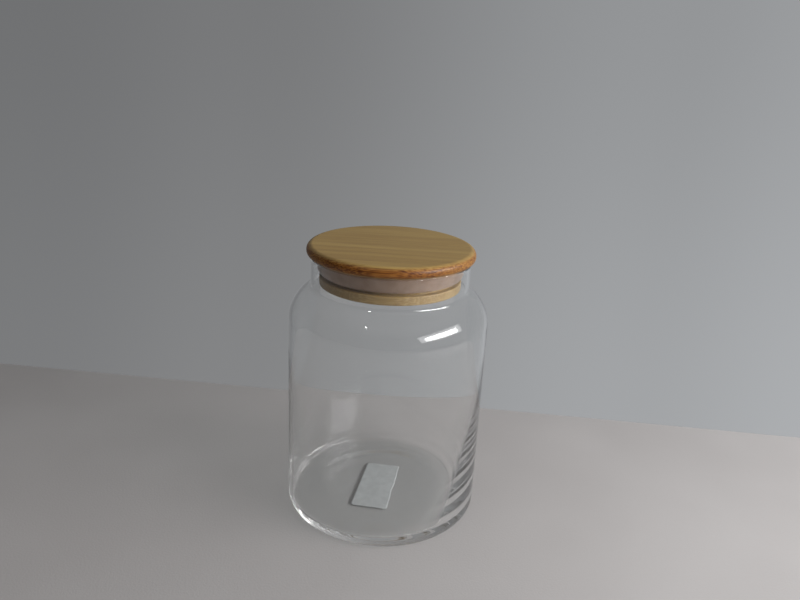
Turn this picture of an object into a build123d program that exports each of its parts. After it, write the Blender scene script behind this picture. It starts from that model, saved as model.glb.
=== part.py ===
from build123d import *
import math
import os

# Glass food canister: a blown glass jar, a turned bamboo lid glued up from side-pressed strips,
# a silicone lip seal in the lid's groove, and a blank paper label under the base.
# Millimetres. Origin: centre of the base, on the surface it stands on. +Z up, +X along the bamboo grain.

# Jar, outside
BODY_RADIUS = 52.5
NECK_RADIUS = 41.3
RIM_Z = 142.2                 # top of the glass
SHOULDER_Z = 107.7            # where the straight side ends
SHOULDER_ANGLE = 52.0         # how far the shoulder leans in from the vertical, degrees
SHOULDER_RADIUS = 20.0        # rounding from side to shoulder
NECK_FILLET = 3.0             # rounding from shoulder to neck
HEEL_HEIGHT = 6.5             # rounding from side to base: an ellipse quarter this high
FOOT_OUTER = 47.0             # flat ring that the jar stands on
FOOT_INNER = 44.0
PUNT_RADIUS = 28.0            # raised middle of the underside, which slopes down to the foot
PUNT_Z = 1.2

# Jar, inside
WALL = 1.4                    # neck, shoulder and upper side
THINNEST_Z = 95.0             # below this height the side wall thickens towards the base
WALL_ARC_RADIUS = 1050.0      # the inside of the side wall, below THINNEST_Z
FLOOR_Z = 5.0
FLOOR_CORNER = 2.2

# Lid
LID_RADIUS = 43.5
LID_GAP = 0.1                 # between the disc and the rim
DISC_THICKNESS = 5.8
DISC_TOP_ROUND = 3.1
DISC_BOTTOM_ROUND = 2.4
CORE_RADIUS = 34.0            # bottom of the seal's groove
GROOVE_HEIGHT = 10.1
PLUG_RADIUS = 36.8            # flange below the groove
FLANGE_HEIGHT = 4.5
FLANGE_ROUND = 0.6
STRIP_WIDTH = 7.25
STRIP_COUNT = 13

# Seal
SEAL_FIT = 0.1                # radial clearance on the core
SEAL_TOP_GAP = 0.15
SEAL_HEIGHT = 8.2
SEAL_BAND = 1.5
SEAL_FOOT_RADIUS = 36.7
LIP_GAP = 0.1                 # lip to glass, where the real lip is pressed flat
LIP_LAND = 0.7
LIP_THICKNESS = 1.3

# Label
LABEL_WIDTH = 20.5
LABEL_LENGTH = 41.0
LABEL_THICKNESS = 0.15
LABEL_CORNER = 1.6
LABEL_CENTRE = (-2.0, -0.3)
LABEL_TURN = -6.2             # long side from +Y, degrees


def arc(centre, radius, start, end):
    """Circular arc in the profile plane, from one angle to another, in degrees."""
    def point(angle):
        a = math.radians(angle)
        return (centre[0] + radius * math.cos(a), centre[1] + radius * math.sin(a))
    return ThreePointArc(point(start), point((start + end) / 2), point(end))


def turned(edges):
    """Solid of revolution about Z, from a closed profile of (radius, height)."""
    return revolve(Plane.XZ * make_face(edges), Axis.Z)


def closed(edges, points):
    """The edges, then straight runs through the points, then back to the first edge."""
    return edges + [Polyline([edges[-1] @ 1, *points, edges[0] @ 0])]


def shoulder(offset):
    """Side to neck: an arc, a straight slope and an arc the other way. The offset moves it inwards by a wall."""
    turn = math.radians(SHOULDER_ANGLE)
    convex, concave = SHOULDER_RADIUS - offset, NECK_FILLET + offset
    inwards = (BODY_RADIUS - NECK_RADIUS) - (SHOULDER_RADIUS + NECK_FILLET) * (1 - math.cos(turn))
    slope = inwards / math.sin(turn)
    rise = (SHOULDER_RADIUS + NECK_FILLET) * math.sin(turn) + slope * math.cos(turn)
    low = arc((BODY_RADIUS - SHOULDER_RADIUS, SHOULDER_Z), convex, 0, SHOULDER_ANGLE)
    high = arc((NECK_RADIUS + NECK_FILLET, SHOULDER_Z + rise), concave, 180 + SHOULDER_ANGLE, 180)
    return [low, Line(low @ 1, high @ 0), high]


def jar_outside():
    """From the middle of the punt out over the foot, up the side and round the rim."""
    heel = EllipticalCenterArc(
        (FOOT_OUTER, HEEL_HEIGHT), BODY_RADIUS - FOOT_OUTER, HEEL_HEIGHT, start_angle=-90, arc_size=90
    )
    under = Polyline([(0, PUNT_Z), (PUNT_RADIUS, PUNT_Z), (FOOT_INNER, 0), (FOOT_OUTER, 0)])
    neck = shoulder(0)
    rim = arc((NECK_RADIUS - WALL / 2, RIM_Z - WALL / 2), WALL / 2, 0, 180)
    return [under, heel, Line(heel @ 1, neck[0] @ 0), *neck, Line(neck[-1] @ 1, rim @ 0), rim]


def jar_inside():
    """From the middle of the floor up the side and over the shoulder to the neck."""
    side_radius = BODY_RADIUS - WALL
    # The side wall's inside is one long arc, tangent to the vertical at THINNEST_Z.
    arc_x = side_radius - WALL_ARC_RADIUS
    corner_z = FLOOR_Z + FLOOR_CORNER
    # The floor's corner touches that arc and the floor.
    reach = WALL_ARC_RADIUS - FLOOR_CORNER
    drop = THINNEST_Z - corner_z
    corner_x = arc_x + math.sqrt(reach**2 - drop**2)
    tangent = -math.degrees(math.asin(drop / reach))
    corner = arc((corner_x, corner_z), FLOOR_CORNER, -90, tangent)
    side = arc((arc_x, THINNEST_Z), WALL_ARC_RADIUS, tangent, 0)
    neck = shoulder(WALL)
    bottom = Line((0, FLOOR_Z), corner @ 0)
    return [bottom, corner, side, Line(side @ 1, neck[0] @ 0), *neck]


def make_jar():
    outside, inside = jar_outside(), jar_inside()
    bore = Line(inside[-1] @ 1, outside[-1] @ 1)
    axis = Line(outside[0] @ 0, inside[0] @ 0)
    return turned(outside + inside + [bore, axis])


def brimful_litres():
    """What the open jar holds, filled level with its rim."""
    contents = turned(closed(jar_inside(), [(NECK_RADIUS - WALL, RIM_Z), (0, RIM_Z)]))
    return contents.volume / 1e6


def make_lid_blank():
    """The whole turned lid: disc, grooved plug and flange, before it is divided into its strips."""
    bottom = RIM_Z + LID_GAP
    top = bottom + DISC_THICKNESS
    groove = bottom - GROOVE_HEIGHT
    flange = groove - FLANGE_HEIGHT
    flange_x = PLUG_RADIUS - FLANGE_ROUND
    edges = [
        arc((flange_x, flange + FLANGE_ROUND), FLANGE_ROUND, -90, 0),
        arc((flange_x, groove - FLANGE_ROUND), FLANGE_ROUND, 0, 90),
        Polyline([(CORE_RADIUS, groove), (CORE_RADIUS, bottom)]),
        arc((LID_RADIUS - DISC_BOTTOM_ROUND, bottom + DISC_BOTTOM_ROUND), DISC_BOTTOM_ROUND, -90, 0),
        arc((LID_RADIUS - DISC_TOP_ROUND, top - DISC_TOP_ROUND), DISC_TOP_ROUND, 0, 90),
    ]
    links = [Line(a @ 1, b @ 0) for a, b in zip(edges, edges[1:])]
    return turned(closed([e for pair in zip(edges, links + [None]) for e in pair if e],
                         [(0, top), (0, flange)]))


def make_strips():
    """The lid's bamboo strips, side by side across Y, each one the full thickness of the board."""
    blank = make_lid_blank()
    strips = {}
    for i in range(STRIP_COUNT):
        y = (i - (STRIP_COUNT - 1) / 2) * STRIP_WIDTH
        slab = Pos(0, y, RIM_Z) * Box(3 * LID_RADIUS, STRIP_WIDTH, 3 * LID_RADIUS)
        strips[f"bamboo_strip_{i + 1:02d}"] = blank & slab
    return strips


def make_seal():
    """A band that sits in the groove, with one lip that flares up and out to the glass."""
    inner = CORE_RADIUS + SEAL_FIT
    top = RIM_Z + LID_GAP - SEAL_TOP_GAP
    bottom = top - SEAL_HEIGHT
    lip_radius = NECK_RADIUS - WALL - LIP_GAP
    land_top = top - LIP_LAND / 2
    land_bottom = land_top - LIP_LAND
    flare = (lip_radius - SEAL_FOOT_RADIUS) / (land_bottom - bottom)
    lip_back = LIP_THICKNESS * math.hypot(1, flare)      # the lip's thickness, measured level
    cleft_x = inner + SEAL_BAND
    cleft_z = bottom + (cleft_x + lip_back - SEAL_FOOT_RADIUS) / flare
    profile = Polyline([
        (inner, top),
        (inner, bottom),
        (SEAL_FOOT_RADIUS, bottom),
        (lip_radius, land_bottom),
        (lip_radius, land_top),
        (SEAL_FOOT_RADIUS - lip_back + flare * SEAL_HEIGHT, top),
        (cleft_x, cleft_z),
        (cleft_x, top),
        (inner, top),
    ])
    return turned([profile])


def make_label():
    """A blank paper label stuck to the raised middle of the underside."""
    outline = RectangleRounded(LABEL_WIDTH, LABEL_LENGTH, LABEL_CORNER)
    place = Pos(*LABEL_CENTRE, PUNT_Z - LABEL_THICKNESS) * Rot(0, 0, LABEL_TURN)
    return extrude(place * outline, LABEL_THICKNESS, dir=(0, 0, 1))


def main():
    parts = {
        "glass_jar": make_jar(),
        "silicone_seal": make_seal(),
        "paper_label": make_label(),
        **make_strips(),
    }
    os.makedirs("parts", exist_ok=True)
    for name, shape in parts.items():
        export_step(shape, f"parts/{name}.step")
    print(f"brimful capacity: {brimful_litres():.2f} l")


main()
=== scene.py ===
"""A glass food canister with a bamboo lid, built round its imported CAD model.

The jar, the seal and the label are rebuilt as finer meshes. The bamboo strips keep their CAD shape. Their
material runs through them as a solid, so that its fibres show as lines on the top and as dots on the ends.
Sizes in the part's own frame are in millimetres, as on a drawing, and MM turns them into Blender's metres.
"""
import math

import bmesh
import bpy
import numpy as np
from mathutils import Matrix, Vector


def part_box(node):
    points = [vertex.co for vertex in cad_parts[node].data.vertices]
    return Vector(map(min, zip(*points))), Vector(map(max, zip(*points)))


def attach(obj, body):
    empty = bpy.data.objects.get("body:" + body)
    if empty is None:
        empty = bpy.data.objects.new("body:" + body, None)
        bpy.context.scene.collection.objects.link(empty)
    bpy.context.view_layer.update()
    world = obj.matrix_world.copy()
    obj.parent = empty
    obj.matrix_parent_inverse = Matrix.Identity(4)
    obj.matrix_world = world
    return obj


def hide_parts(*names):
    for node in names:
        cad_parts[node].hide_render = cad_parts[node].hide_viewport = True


MM = 0.001
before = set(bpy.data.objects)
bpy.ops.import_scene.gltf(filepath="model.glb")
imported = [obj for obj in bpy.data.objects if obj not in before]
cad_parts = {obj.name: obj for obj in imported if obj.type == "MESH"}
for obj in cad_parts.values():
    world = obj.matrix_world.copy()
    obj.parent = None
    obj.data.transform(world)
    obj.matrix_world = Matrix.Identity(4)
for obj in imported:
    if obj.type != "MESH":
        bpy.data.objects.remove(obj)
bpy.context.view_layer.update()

# Sizes that the CAD model has, read from its nodes
JAR_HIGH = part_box("glass_jar")[1]
SEAL_LOW, SEAL_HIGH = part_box("silicone_seal")
LABEL_LOW, LABEL_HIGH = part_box("paper_label")
BODY_RADIUS = JAR_HIGH.x / MM
RIM_Z = JAR_HIGH.z / MM

# The jar's outline, as in its drawing
NECK_RADIUS = 41.3
SHOULDER_Z = 107.7
SHOULDER_ANGLE = 52.0
SHOULDER_RADIUS = 20.0
NECK_FILLET = 3.0
HEEL_HEIGHT = 6.5
FOOT_OUTER = 47.0
FOOT_INNER = 44.0
PUNT_RADIUS = 28.0
PUNT_Z = LABEL_HIGH.z / MM
WALL = 1.4
THINNEST_Z = 95.0
WALL_ARC_RADIUS = 1050.0
FLOOR_Z = 5.0
FLOOR_CORNER = 2.2

# Blown glass is uneven: the cavity leans away from the axis towards the base, which leaves one side thick
CAVITY_SHIFT = 2.7
CAVITY_SHIFT_TOP = 80.0
CAVITY_SHIFT_ANGLE = 184.0
CAVITY_RIPPLE = 0.06
FLOOR_WAVE = 0.04
JAR_STEPS = 256

# The lid's strips, and the fibre bundles in them
STRIP_WIDTH = 7.25
STRIP_COUNT = 13
BUNDLE_PITCH = 0.72
BUNDLE_SWAY = 1.2
# The painted shade on the lid's turned edge fades in between these two heights, so the disc's edge has it and
# the plug below has none
EDGE_SHADE_FROM, EDGE_SHADE_TO = 136.0, 139.0

# The bamboo's colours, with the multipliers that paint shade onto the disc's turned edge
BAMBOO = {
    "pale": (0.52, 0.35, 0.112, 1),
    "warm": (0.445, 0.285, 0.086, 1),
    "band": (0.34, 0.21, 0.066, 1),
    "fibre": (0.33, 0.20, 0.062, 1),
    "halo": (0.60, 0.44, 0.23, 1),
    "bundle": (0.17, 0.07, 0.02, 1),
    "flame": (0.12, 0.04, 0.008, 1),
    "seam": (0.20, 0.11, 0.045, 1),
    "plug": (0.43, 0.29, 0.14, 1),
    "edge_shade": (0.84, 0.58, 0.32, 1),
    "edge_shade_along": (0.80, 0.64, 0.46, 1),
}

# The seal's section, how far its lip is pressed into the glass, and the nick in its lower edge
CORE_RADIUS = 34.1
SEAL_FOOT_RADIUS = 36.7
SEAL_BAND = 1.5
LIP_THICKNESS = 1.3
LIP_LAND = 0.7
LIP_BITE = 0.03
NICK_ANGLE = 304.0
NICK_DEPTH = 0.55
NICK_WIDTH = 0.9
SEAL_STEPS = 192

# The label: it hangs a hair under the glass, has lifted at its edges, and is a little thinner than in the CAD
LABEL_WIDTH = 20.5
LABEL_LENGTH = 41.0
LABEL_CORNER = 1.6
LABEL_CENTRE = (-2.0, -0.3)
LABEL_TURN = -6.2
LABEL_GAP = 0.02
LABEL_SIDE_LIFT = 0.2
LABEL_END_LIFT = 0.15
LABEL_SLACK = 0.03

# The camera: its place, its angles in degrees, and its lens
CAMERA_PLACE = (24.9, -356.4, 241.7)
CAMERA_HEADING = 3.09
CAMERA_DOWN = 19.08
CAMERA_ROLL = 2.97
CAMERA_LENS = 32.32
SENSOR_WIDTH = 36

# The table: its far edge behind the jar, how far it reaches the other ways, and its gap below the foot
TABLE_BACK = 117.0
TABLE_REACH = 1600.0
TABLE_DROP = 0.1
TABLE_TURN = -2.0

# Area lights round a point on the jar's axis: name, azimuth, elevation, distance and size in metres, watts
LIGHT_TARGET_Z = 80.0
LIGHTS = [
    ("window", -22, 24, 0.65, (0.47, 0.1), 2.8),
    ("window_glow", -22, 25, 0.67, (0.65, 0.2), 1.1),
    ("far_window", -118, 52, 1.0, (0.05, 0.04), 0.3),
]
BOUNCES = 64
CLEAR_BOUNCES = 24


# ---------------------------------------------------------------- meshes

def arc(centre, radius, start, end, steps, radius_z=None):
    """Points on an arc of a profile, from one angle to another, in degrees."""
    angles = np.radians(np.linspace(start, end, steps + 1))
    return [
        (centre[0] + radius * math.cos(a), centre[1] + (radius_z or radius) * math.sin(a))
        for a in angles
    ]


def line(start, end, steps):
    """Points on a straight run, without its first one."""
    return [
        (start[0] + (end[0] - start[0]) * i / steps, start[1] + (end[1] - start[1]) * i / steps)
        for i in range(1, steps + 1)
    ]


def smooth(t):
    """0 to 1 with no kink at either end."""
    t = min(max(t, 0.0), 1.0)
    return t * t * (3 - 2 * t)


def shoulder(offset, steps):
    """Side to neck: an arc, a straight slope and an arc the other way, moved inwards by a wall."""
    turn = math.radians(SHOULDER_ANGLE)
    inwards = (BODY_RADIUS - NECK_RADIUS) - (SHOULDER_RADIUS + NECK_FILLET) * (1 - math.cos(turn))
    rise = (SHOULDER_RADIUS + NECK_FILLET) * math.sin(turn) + inwards / math.tan(turn)
    low = arc((BODY_RADIUS - SHOULDER_RADIUS, SHOULDER_Z), SHOULDER_RADIUS - offset, 0, SHOULDER_ANGLE, steps)
    high = arc(
        (NECK_RADIUS + NECK_FILLET, SHOULDER_Z + rise), NECK_FILLET + offset, 180 + SHOULDER_ANGLE, 180, steps
    )
    return low + line(low[-1], high[0], 8)[:-1] + high


def jar_outside():
    """From the middle of the underside, over the foot and the side, to the top of the rim."""
    points = [(0.0, PUNT_Z)] + line((0, PUNT_Z), (PUNT_RADIUS, PUNT_Z), 18)
    # The raised middle sinks softly to the foot.
    for i in range(1, 25):
        t = i / 24
        points.append((PUNT_RADIUS + (FOOT_INNER - PUNT_RADIUS) * t, PUNT_Z * (1 - smooth(t))))
    points += line(points[-1], (FOOT_OUTER, 0), 4)
    points += arc((FOOT_OUTER, HEEL_HEIGHT), BODY_RADIUS - FOOT_OUTER, -90, 0, 20, HEEL_HEIGHT)[1:]
    points += line(points[-1], (BODY_RADIUS, SHOULDER_Z), 40)
    points += shoulder(0, 14)[1:]
    points += line(points[-1], (NECK_RADIUS, RIM_Z - WALL / 2), 8)
    points += arc((NECK_RADIUS - WALL / 2, RIM_Z - WALL / 2), WALL / 2, 0, 90, 6)[1:]
    return points


def jar_inside():
    """From the middle of the floor, up the side and the neck, to just short of the rim's top."""
    side_radius = BODY_RADIUS - WALL
    arc_x = side_radius - WALL_ARC_RADIUS
    corner_z = FLOOR_Z + FLOOR_CORNER
    reach = WALL_ARC_RADIUS - FLOOR_CORNER
    drop = THINNEST_Z - corner_z
    corner_x = arc_x + math.sqrt(reach**2 - drop**2)
    tangent = -math.degrees(math.asin(drop / reach))
    points = [(0.0, FLOOR_Z)] + line((0, FLOOR_Z), (corner_x, FLOOR_Z), 24)
    points += arc((corner_x, corner_z), FLOOR_CORNER, -90, tangent, 12)[1:]
    points += arc((arc_x, THINNEST_Z), WALL_ARC_RADIUS, tangent, 0, 40)[1:]
    points += line(points[-1], (side_radius, SHOULDER_Z), 6)
    points += shoulder(WALL, 14)[1:]
    points += line(points[-1], (NECK_RADIUS - WALL, RIM_Z - WALL / 2), 8)
    points += arc((NECK_RADIUS - WALL / 2, RIM_Z - WALL / 2), WALL / 2, 180, 90, 6)[1:-1]
    return points


def in_scene(name, data):
    """A new object for a mesh, a light or a camera."""
    thing = bpy.data.objects.new(name, data)
    bpy.context.scene.collection.objects.link(thing)
    return thing


def smooth_piece(name, bm):
    """A smoothly shaded object from a bmesh, which it frees."""
    mesh = bpy.data.meshes.new(name)
    bm.to_mesh(mesh)
    bm.free()
    mesh.shade_smooth()
    return in_scene(name, mesh)


def lathe(name, profile, steps, shape, closed_loop=False):
    """A turned mesh. The profile runs from axis to axis, or is a ring's closed section.

    shape(angle, r, z, i) gives each point's place, for what isn't quite round.
    """
    bm = bmesh.new()
    rings = []
    for i, (r, z) in enumerate(profile):
        angles = [2 * math.pi * k / steps for k in range(1 if r < 1e-6 else steps)]
        rings.append([bm.verts.new([c * MM for c in shape(a, r, z, i)]) for a in angles])
    pairs = list(zip(rings, rings[1:]))
    if closed_loop:
        pairs.append((rings[-1], rings[0]))
    for low, high in pairs:
        for k in range(steps):
            n = (k + 1) % steps
            corners = [low[k % len(low)], low[n % len(low)], high[n % len(high)], high[k % len(high)]]
            # At the axis two corners are the same point, which leaves a triangle.
            corners = [c for j, c in enumerate(corners) if c not in corners[:j]]
            if len(corners) > 2:
                bm.faces.new(corners)
    bmesh.ops.recalc_face_normals(bm, faces=bm.faces)
    return smooth_piece(name, bm)


def make_jar():
    """The jar as blown: its cavity leans to one side near the base, and its inside isn't quite round."""
    outside, inside = jar_outside(), jar_inside()
    lean = math.radians(CAVITY_SHIFT_ANGLE)

    def shape(a, r, z, i):
        if i < len(outside):
            return r * math.cos(a), r * math.sin(a), z
        shift = CAVITY_SHIFT * max(0.0, (CAVITY_SHIFT_TOP - z) / (CAVITY_SHIFT_TOP - FLOOR_Z)) ** 2
        ripple = CAVITY_RIPPLE * math.sin(2 * a + 0.9 + z / 31)
        r = r + ripple * smooth((z - 16) / 30) * smooth((126 - z) / 14)
        wave = FLOOR_WAVE * math.sin(a * 2 + 1) * smooth(r / 30) * smooth((43 - r) / 8)
        return r * math.cos(a) + shift * math.cos(lean), r * math.sin(a) + shift * math.sin(lean), z + wave

    return lathe("jar_glass", outside + inside[::-1], JAR_STEPS, shape)


def make_seal():
    """The seal's ring, with soft edges and a small nick in its lower one."""
    low, high = SEAL_LOW.z / MM, SEAL_HIGH.z / MM
    # The lip is pressed onto the glass and wets it, so it shows through the wall's full thickness.
    lip_radius = NECK_RADIUS - WALL + LIP_BITE
    land_top = high - LIP_LAND / 2
    land_bottom = land_top - LIP_LAND
    flare = (lip_radius - SEAL_FOOT_RADIUS) / (land_bottom - low)
    lip_back = LIP_THICKNESS * math.hypot(1, flare)
    cleft_x = CORE_RADIUS + SEAL_BAND
    cleft_z = low + (cleft_x + lip_back - SEAL_FOOT_RADIUS) / flare
    corners = [
        (CORE_RADIUS, high, 0.25),
        (CORE_RADIUS, low, 0.35),
        (SEAL_FOOT_RADIUS, low, 0.5),
        (lip_radius, land_bottom, 0.3),
        (lip_radius, land_top, 0.3),
        (SEAL_FOOT_RADIUS - lip_back + flare * (high - low), high, 0.2),
        (cleft_x, cleft_z, 0.3),
        (cleft_x, high, 0.25),
    ]
    section = []
    for k, (r, z, cut) in enumerate(corners):
        here = Vector((r, z))
        before = Vector(corners[k - 1][:2])
        after = Vector(corners[(k + 1) % len(corners)][:2])
        start = here + (before - here).normalized() * cut
        end = here + (after - here).normalized() * cut
        for t in (0.0, 0.25, 0.5, 0.75, 1.0):
            p = start * (1 - t) ** 2 + here * 2 * t * (1 - t) + end * t**2
            section.append((p.x, p.y))

    def shape(a, r, z, i):
        nick = NICK_DEPTH * math.exp(-(((math.degrees(a) - NICK_ANGLE) / NICK_WIDTH) ** 2))
        if r > SEAL_FOOT_RADIUS - 0.8 and z < low + 1.0:
            z += nick
        return r * math.cos(a), r * math.sin(a), z

    return lathe("seal_ring", section, SEAL_STEPS, shape, closed_loop=True)


def make_label():
    """A blank paper label whose edge has lifted off the glass here and there."""
    across, along = 24, 48
    bm = bmesh.new()
    turn = math.radians(LABEL_TURN)
    thickness = (LABEL_HIGH.z - LABEL_LOW.z) / MM
    grid = []
    for j in range(along + 1):
        v = (j / along - 0.5) * LABEL_LENGTH
        # The end rows are shorter, so that the corners are round.
        inset = max(0.0, abs(v) - (LABEL_LENGTH / 2 - LABEL_CORNER))
        half = LABEL_WIDTH / 2 - LABEL_CORNER + math.sqrt(max(LABEL_CORNER**2 - inset**2, 0.01))
        row = []
        for k in range(across + 1):
            u = (k / across - 0.5) * 2 * half
            edge = smooth((abs(u) / half - 0.7) / 0.3) if u > 0 else 0.0
            end = smooth((-v / (LABEL_LENGTH / 2) - 0.85) / 0.15)
            wave = edge * (0.22 * math.sin(v / 3.1) + 0.12 * math.sin(v / 1.7 + 1))
            lift = LABEL_SIDE_LIFT * edge * (0.5 + 0.5 * math.sin(v / 4.3 + 0.6)) + LABEL_END_LIFT * end
            x = (u + wave) * math.cos(turn) - v * math.sin(turn) + LABEL_CENTRE[0]
            y = (u + wave) * math.sin(turn) + v * math.cos(turn) + LABEL_CENTRE[1]
            z = LABEL_HIGH.z / MM - LABEL_GAP - lift
            row.append(bm.verts.new((x * MM, y * MM, z * MM)))
        grid.append(row)
    for low, high in zip(grid, grid[1:]):
        for k in range(across):
            bm.faces.new([low[k], low[k + 1], high[k + 1], high[k]])
    piece = smooth_piece("label_paper", bm)
    solid = piece.modifiers.new("thickness", "SOLIDIFY")
    solid.thickness = (thickness - LABEL_SLACK) * MM
    solid.offset = -1
    return piece


# ---------------------------------------------------------------- materials

class Nodes:
    """A short way to write a material's node tree."""

    def __init__(self, name):
        self.material = bpy.data.materials.new(name)
        self.material.use_nodes = True
        self.tree = self.material.node_tree
        self.tree.nodes.clear()
        self.output = self.add("ShaderNodeOutputMaterial")
        self.shader = self.add("ShaderNodeBsdfPrincipled")
        self.link(self.shader.outputs[0], self.output.inputs["Surface"])

    def add(self, kind, **settings):
        node = self.tree.nodes.new(kind)
        for key, value in settings.items():
            setattr(node, key, value)
        return node

    def link(self, source, target):
        if isinstance(source, (int, float, tuple)):
            target.default_value = source
        else:
            self.tree.links.new(source, target)

    def math(self, operation, a, b=0.0):
        node = self.add("ShaderNodeMath", operation=operation)
        for value, socket in zip((a, b), node.inputs):
            self.link(value, socket)
        return node.outputs[0]

    def combine(self, x, y, z):
        node = self.add("ShaderNodeCombineXYZ")
        for value, socket in zip((x, y, z), node.inputs):
            self.link(value, socket)
        return node.outputs[0]

    def ramp(self, value, low, high, from_low=0.0, from_high=1.0):
        node = self.add("ShaderNodeMapRange", interpolation_type="SMOOTHSTEP")
        for v, socket in zip((value, from_low, from_high, low, high), node.inputs):
            self.link(v, socket)
        return node.outputs[0]

    def mix(self, factor, a, b, blend="MIX"):
        node = self.add("ShaderNodeMix", data_type="RGBA", blend_type=blend)
        self.link(factor, node.inputs["Factor"])
        self.link(a, node.inputs["A"])
        self.link(b, node.inputs["B"])
        return node.outputs["Result"]

    def noise(self, vector, scale, detail=2.0, rough=0.5):
        node = self.add("ShaderNodeTexNoise")
        self.link(vector, node.inputs["Vector"])
        node.inputs["Scale"].default_value = scale
        node.inputs["Detail"].default_value = detail
        node.inputs["Roughness"].default_value = rough
        return node.outputs["Fac"]

    def bump(self, height, strength, distance):
        node = self.add("ShaderNodeBump")
        node.inputs["Strength"].default_value = strength
        node.inputs["Distance"].default_value = distance
        self.link(height, node.inputs["Height"])
        self.link(node.outputs[0], self.shader.inputs["Normal"])


def glass_material():
    """Clear soda glass. Lamps and soft light pass straight through it, and what the eye sees is bent."""
    m = Nodes("clear_glass")
    s = m.shader.inputs
    s["Base Color"].default_value = (0.996, 1.0, 0.999, 1)
    s["Roughness"].default_value = 0.0
    s["IOR"].default_value = 1.5
    s["Transmission Weight"].default_value = 1.0
    path = m.add("ShaderNodeLightPath")
    clear = m.add("ShaderNodeBsdfTransparent")
    clear.inputs["Color"].default_value = (0.89, 0.90, 0.90, 1)
    shader = m.shader.outputs[0]
    for ray in ("Is Diffuse Ray", "Is Shadow Ray"):
        mix = m.add("ShaderNodeMixShader")
        m.link(path.outputs[ray], mix.inputs[0])
        m.link(shader, mix.inputs[1])
        m.link(clear.outputs[0], mix.inputs[2])
        shader = mix.outputs[0]
    m.link(shader, m.output.inputs["Surface"])
    return m.material


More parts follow.
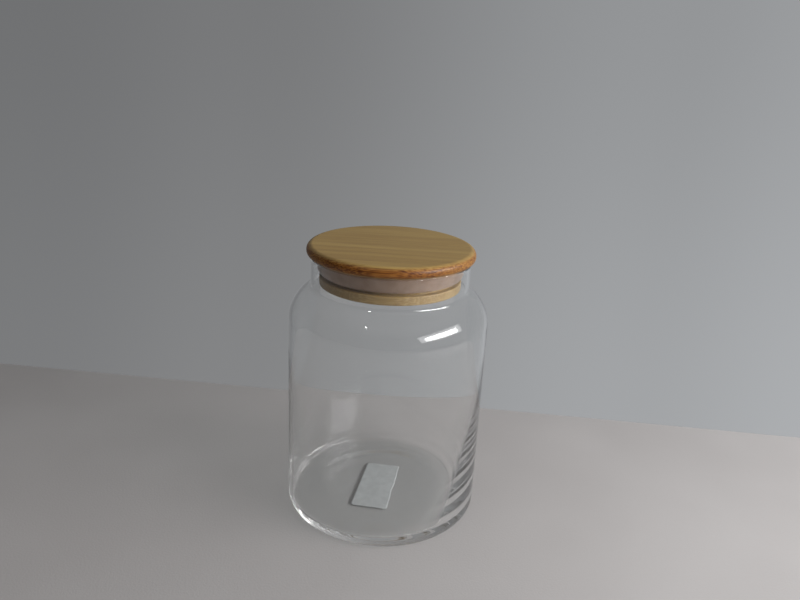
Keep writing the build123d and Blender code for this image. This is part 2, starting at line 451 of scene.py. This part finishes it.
def bamboo_material():
    """Side-pressed bamboo, as a solid: fibre bundles run along X, and each strip has a tone of its own."""
    m = Nodes("bamboo")
    place = m.add("ShaderNodeTexCoord").outputs["Object"]
    split = m.add("ShaderNodeSeparateXYZ")
    m.link(place, split.inputs[0])
    x, y, z = (m.math("MULTIPLY", split.outputs[i], 1000.0) for i in range(3))

    # Which strip this is, and how far across it
    across = m.math("DIVIDE", m.math("ADD", y, STRIP_WIDTH * STRIP_COUNT / 2), STRIP_WIDTH)
    strip = m.math("FLOOR", across)
    within = m.math("FRACT", across)

    def draw(offset):
        """A random number for each strip."""
        node = m.add("ShaderNodeTexWhiteNoise", noise_dimensions="1D")
        m.link(m.math("ADD", strip, offset), node.inputs["W"])
        return node.outputs["Value"]

    def grain(fx, fy, fz, detail, rough=0.5):
        """Noise drawn out along the strip, with a frequency per millimetre for each axis."""
        scaled = [m.math("MULTIPLY", v, f) for v, f in ((x, fx), (y, fy), (z, fz))]
        return m.noise(m.combine(*scaled), 1.0, detail, rough)

    tone = draw(3.5)
    # The culm's skin is at one side of the strip or at the other
    flipped = m.math("GREATER_THAN", draw(40.5), 0.5)
    skin = m.math("ABSOLUTE", m.math("SUBTRACT", within, flipped))

    # What the wood faces: 0 on the flat top, 1 on the turned edges. The disc's edge gets painted shade,
    # darker and warmer than the flat top, standing in for the sheen that the top catches from the room.
    facing = m.add("ShaderNodeSeparateXYZ")
    m.link(m.add("ShaderNodeTexCoord").outputs["Normal"], facing.inputs[0])
    edge = m.ramp(m.math("ABSOLUTE", facing.outputs["Z"]), 1.0, 0.0, 0.55, 0.97)
    edge_shade_and_flames = m.math("MULTIPLY", edge, m.ramp(z, 0.0, 1.0, EDGE_SHADE_FROM, EDGE_SHADE_TO))

    # The bundles wander a little along the strip
    sway_y = m.noise(m.combine(m.math("MULTIPLY", x, 0.02), strip, 0.0), 1.0)
    sway_z = m.noise(m.combine(m.math("MULTIPLY", x, 0.03), m.math("ADD", strip, 7.0), 5.0), 1.0)
    bundle_y = m.math("ADD", y, m.math("MULTIPLY", sway_y, BUNDLE_SWAY))
    bundle_z = m.math("ADD", z, m.math("MULTIPLY", sway_z, BUNDLE_SWAY))
    bundle_z = m.math("ADD", bundle_z, m.math("MULTIPLY", strip, 13.0))
    cell = m.add("ShaderNodeTexVoronoi", voronoi_dimensions="2D", feature="F1")
    in_pitches = [m.math("DIVIDE", v, BUNDLE_PITCH) for v in (bundle_y, bundle_z)]
    m.link(m.combine(*in_pitches, 0.0), cell.inputs["Vector"])
    cell.inputs["Scale"].default_value = 1.0
    cell.inputs["Randomness"].default_value = 0.8
    # They are darker towards the culm's skin, and each has a pale halo
    bundle = m.ramp(cell.outputs["Distance"], 1.0, 0.0, 0.20, 0.42)
    bundle = m.math("MULTIPLY", bundle, m.ramp(skin, 1.0, 0.5))
    halo = m.ramp(cell.outputs["Distance"], 0.0, 1.0, 0.40, 0.62)

    # Long fine fibres, slow bands, dark flames on the disc's edge, and the glued seams
    fibre = grain(0.05, 3.2, 3.2, 4.0, 0.6)
    band = grain(0.012, 0.32, 0.2, 2.0)
    flame = grain(0.06, 0.9, 1.1, 3.0, 0.65)
    flame = m.math("MULTIPLY", m.ramp(flame, 0.0, 1.0, 0.47, 0.66), edge_shade_and_flames)
    seam = m.ramp(m.math("ABSOLUTE", m.math("SUBTRACT", within, 0.5)), 0.0, 1.0, 0.485, 0.5)

    colour = m.mix(tone, BAMBOO["pale"], BAMBOO["warm"])
    for amount, layer in (
        (m.ramp(band, 0.0, 0.55, 0.35, 0.7), "band"),
        (m.ramp(fibre, 0.0, 0.5, 0.35, 0.75), "fibre"),
        (m.math("MULTIPLY", halo, m.math("MULTIPLY", edge, 0.5)), "halo"),
        (m.math("MULTIPLY", bundle, m.math("ADD", 0.3, m.math("MULTIPLY", edge_shade_and_flames, 0.5))), "bundle"),
        (m.math("MULTIPLY", flame, 0.85), "flame"),
        (m.math("MULTIPLY", seam, 0.35), "seam"),
    ):
        colour = m.mix(amount, colour, BAMBOO[layer])
    colour = m.mix(m.math("SUBTRACT", edge, edge_shade_and_flames), colour, m.mix(0.4, colour, BAMBOO["plug"]))
    # Painted shade: the disc's turned edge is multiplied darker and warmer than the flat top
    colour = m.mix(edge_shade_and_flames, colour, m.mix(1.0, colour, BAMBOO["edge_shade"], "MULTIPLY"))
    # The painted edge shade is deeper where the edge runs along the fibres than where it cuts across them
    along = m.ramp(m.math("ABSOLUTE", facing.outputs["Y"]), 0.0, 1.0, 0.55, 0.95)
    along = m.math("MULTIPLY", edge_shade_and_flames, along)
    colour = m.mix(along, colour, m.mix(1.0, colour, BAMBOO["edge_shade_along"], "MULTIPLY"))
    m.link(colour, m.shader.inputs["Base Color"])
    m.link(m.ramp(fibre, 0.36, 0.52), m.shader.inputs["Roughness"])
    m.shader.inputs["Specular IOR Level"].default_value = 0.42
    height = m.math("SUBTRACT", m.math("MULTIPLY", fibre, 0.5), m.math("MULTIPLY", bundle, 0.6))
    height = m.math("SUBTRACT", height, m.math("MULTIPLY", seam, 0.8))
    m.bump(height, 0.35, 0.00008)
    return m.material


def silicone_material():
    """Milky silicone that lets some of the wood's brown through."""
    m = Nodes("milky_silicone")
    place = m.add("ShaderNodeTexCoord").outputs["Object"]
    cloud = m.noise(place, 180.0, 3.0)
    m.link(m.mix(m.ramp(cloud, 0.0, 1.0, 0.3, 0.7), (0.36, 0.235, 0.165, 1), (0.42, 0.285, 0.21, 1)),
           m.shader.inputs["Base Color"])
    fine = m.noise(place, 900.0, 2.0)
    m.link(m.ramp(fine, 0.28, 0.42), m.shader.inputs["Roughness"])
    m.shader.inputs["IOR"].default_value = 1.41
    m.shader.inputs["Subsurface Weight"].default_value = 0.35
    m.shader.inputs["Subsurface Radius"].default_value = (0.002, 0.0015, 0.0011)
    m.shader.inputs["Subsurface Scale"].default_value = 1.0
    m.bump(fine, 0.15, 0.00005)
    return m.material


def paper_material():
    """Matt white paper with a faint mottle."""
    m = Nodes("label_paper")
    place = m.add("ShaderNodeTexCoord").outputs["Object"]
    mottle = m.noise(place, 260.0, 4.0, 0.6)
    m.link(m.mix(m.ramp(mottle, 0.0, 1.0, 0.35, 0.65), (0.64, 0.64, 0.645, 1), (0.72, 0.72, 0.725, 1)),
           m.shader.inputs["Base Color"])
    fibres = m.noise(place, 2600.0, 3.0)
    m.link(m.ramp(fibres, 0.7, 0.9), m.shader.inputs["Roughness"])
    m.bump(fibres, 0.3, 0.00003)
    return m.material


def table_material():
    """A plain pale cloth-covered table."""
    m = Nodes("pale_table")
    place = m.add("ShaderNodeTexCoord").outputs["Object"]
    soft = m.noise(place, 9.0, 2.0)
    colour = m.mix(m.ramp(soft, 0.0, 1.0, 0.3, 0.7), (0.50, 0.478, 0.473, 1), (0.535, 0.513, 0.508, 1))
    weave = m.noise(place, 900.0, 2.0)
    m.link(m.mix(m.ramp(weave, 0.0, 0.12), colour, (0.42, 0.40, 0.395, 1)), m.shader.inputs["Base Color"])
    m.bump(weave, 0.4, 0.0002)
    m.shader.inputs["Roughness"].default_value = 0.9
    m.shader.inputs["Specular IOR Level"].default_value = 0.2
    return m.material


# ---------------------------------------------------------------- stage, light and camera

def make_table():
    """A table top whose far edge lies behind the jar."""
    mesh = bpy.data.meshes.new("table")
    # It lies a hair below the foot, so that glass and table don't share a plane.
    z = -TABLE_DROP
    near, far, side = -TABLE_REACH, TABLE_BACK, TABLE_REACH
    corners = [(-side, near, z), (side, near, z), (side, far, z), (-side, far, z)]
    turn = Matrix.Rotation(math.radians(TABLE_TURN), 3, "Z")
    mesh.from_pydata([turn @ Vector(c) * MM for c in corners], [], [(0, 1, 2, 3)])
    mesh.materials.append(table_material())
    table = in_scene("table", mesh)


def make_world():
    """The room by direction: a grey-blue wall behind the jar, lighter to the right, and dim elsewhere."""
    world = bpy.data.worlds.new("room")
    bpy.context.scene.world = world
    world.use_nodes = True
    tree = world.node_tree
    tree.nodes.clear()
    out = tree.nodes.new("ShaderNodeOutputWorld")
    back = tree.nodes.new("ShaderNodeBackground")
    tree.links.new(back.outputs[0], out.inputs[0])
    place = tree.nodes.new("ShaderNodeTexCoord")
    way = tree.nodes.new("ShaderNodeSeparateXYZ")
    tree.links.new(place.outputs["Generated"], way.inputs[0])

    def ramp(axis, stops):
        """Colours from -1 to 1 along an axis. A single number stands for a grey."""
        node = tree.nodes.new("ShaderNodeValToRGB")
        scale = tree.nodes.new("ShaderNodeMapRange")
        scale.inputs["From Min"].default_value = -1.0
        tree.links.new(way.outputs[axis], scale.inputs["Value"])
        tree.links.new(scale.outputs[0], node.inputs[0])
        node.color_ramp.interpolation = "EASE"
        while len(node.color_ramp.elements) < len(stops):
            node.color_ramp.elements.new(0.5)
        for element, (at, colour) in zip(node.color_ramp.elements, stops):
            element.position = (at + 1) / 2
            element.color = (*(colour if isinstance(colour, tuple) else (colour,) * 3), 1)
        return node.outputs[0]

    def mix(a, b, factor=None, blend="MIX"):
        """b over a, in full where no factor is given."""
        node = tree.nodes.new("ShaderNodeMix")
        node.data_type = "RGBA"
        node.blend_type = blend
        node.inputs["Factor"].default_value = 1.0
        for source, socket in ((a, "A"), (b, "B"), (factor, "Factor")):
            if source:
                tree.links.new(source, node.inputs[socket])
        return node.outputs["Result"]

    wall = ramp("X", [
        (-0.9, (0.08, 0.081, 0.083)),
        (-0.5, (0.165, 0.168, 0.172)),
        (-0.27, (0.190, 0.193, 0.197)),
        (0.27, (0.300, 0.308, 0.318)),
        (0.5, (0.350, 0.360, 0.372)),
    ])
    wall = mix(wall, ramp("Z", [(-0.5, 1.22), (0.1, 0.98)]), blend="MULTIPLY")
    room = ramp("X", [(-0.9, (0.012, 0.012, 0.0125)), (0.0, 0.09), (0.9, 0.30)])
    ceiling = ramp("X", [(-0.8, 0.07), (0.0, 0.30), (0.8, 0.50)])
    behind = ramp("Y", [(0.0, 0.0), (0.35, 1.0)])
    above = ramp("Z", [(0.45, 0.0), (0.85, 1.0)])
    tree.links.new(mix(mix(room, wall, behind), ceiling, above), back.inputs[0])


def make_light(name, azimuth, elevation, distance, size, watts):
    """An area light that faces the jar. Azimuth is from +X towards +Y, in degrees; lengths are in metres."""
    data = bpy.data.lights.new(name, "AREA")
    data.shape = "RECTANGLE"
    data.size, data.size_y = size
    data.energy = watts
    light = in_scene(name, data)
    a, e = math.radians(azimuth), math.radians(elevation)
    way = Vector((math.cos(a) * math.cos(e), math.sin(a) * math.cos(e), math.sin(e)))
    light.location = Vector((0, 0, LIGHT_TARGET_Z * MM)) + way * distance
    light.rotation_mode = "QUATERNION"
    light.rotation_quaternion = way.to_track_quat("Z", "Y")


def make_camera():
    """The camera, turned to its heading, then tilted down, then rolled about its own axis."""
    data = bpy.data.cameras.new("camera")
    data.lens = CAMERA_LENS
    data.sensor_width = SENSOR_WIDTH
    data.clip_start, data.clip_end = 0.01, 50
    camera = in_scene("camera", data)
    turn = Matrix.Rotation(math.radians(CAMERA_HEADING), 4, "Z")
    tilt = Matrix.Rotation(math.radians(90 - CAMERA_DOWN), 4, "X")
    roll = Matrix.Rotation(math.radians(CAMERA_ROLL), 4, "Z")
    camera.matrix_world = Matrix.Translation(Vector(CAMERA_PLACE) * MM) @ turn @ tilt @ roll
    bpy.context.scene.camera = camera


# ---------------------------------------------------------------- putting it together

def dress(piece, material):
    """Gives a piece this one material."""
    piece.data.materials.clear()
    piece.data.materials.append(material)


def build():
    """Adds the finer pieces and gives each its look and its body, and gives the bamboo strips their look."""
    jar = make_jar()
    dress(jar, glass_material())
    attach(jar, "jar")
    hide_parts("glass_jar")

    seal = make_seal()
    dress(seal, silicone_material())
    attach(seal, "seal")
    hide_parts("silicone_seal")

    label = make_label()
    dress(label, paper_material())
    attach(label, "jar")
    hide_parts("paper_label")

    bamboo = bamboo_material()
    for name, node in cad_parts.items():
        if name.startswith("bamboo_strip"):
            dress(node, bamboo)


build()
make_table()
make_world()
for light_settings in LIGHTS:
    make_light(*light_settings)
make_camera()
scene = bpy.context.scene
scene.view_settings.view_transform = "Standard"
# Light takes many turns inside the jar's walls
scene.cycles.max_bounces = BOUNCES
scene.cycles.transmission_bounces = BOUNCES
scene.cycles.glossy_bounces = BOUNCES
scene.cycles.transparent_max_bounces = CLEAR_BOUNCES
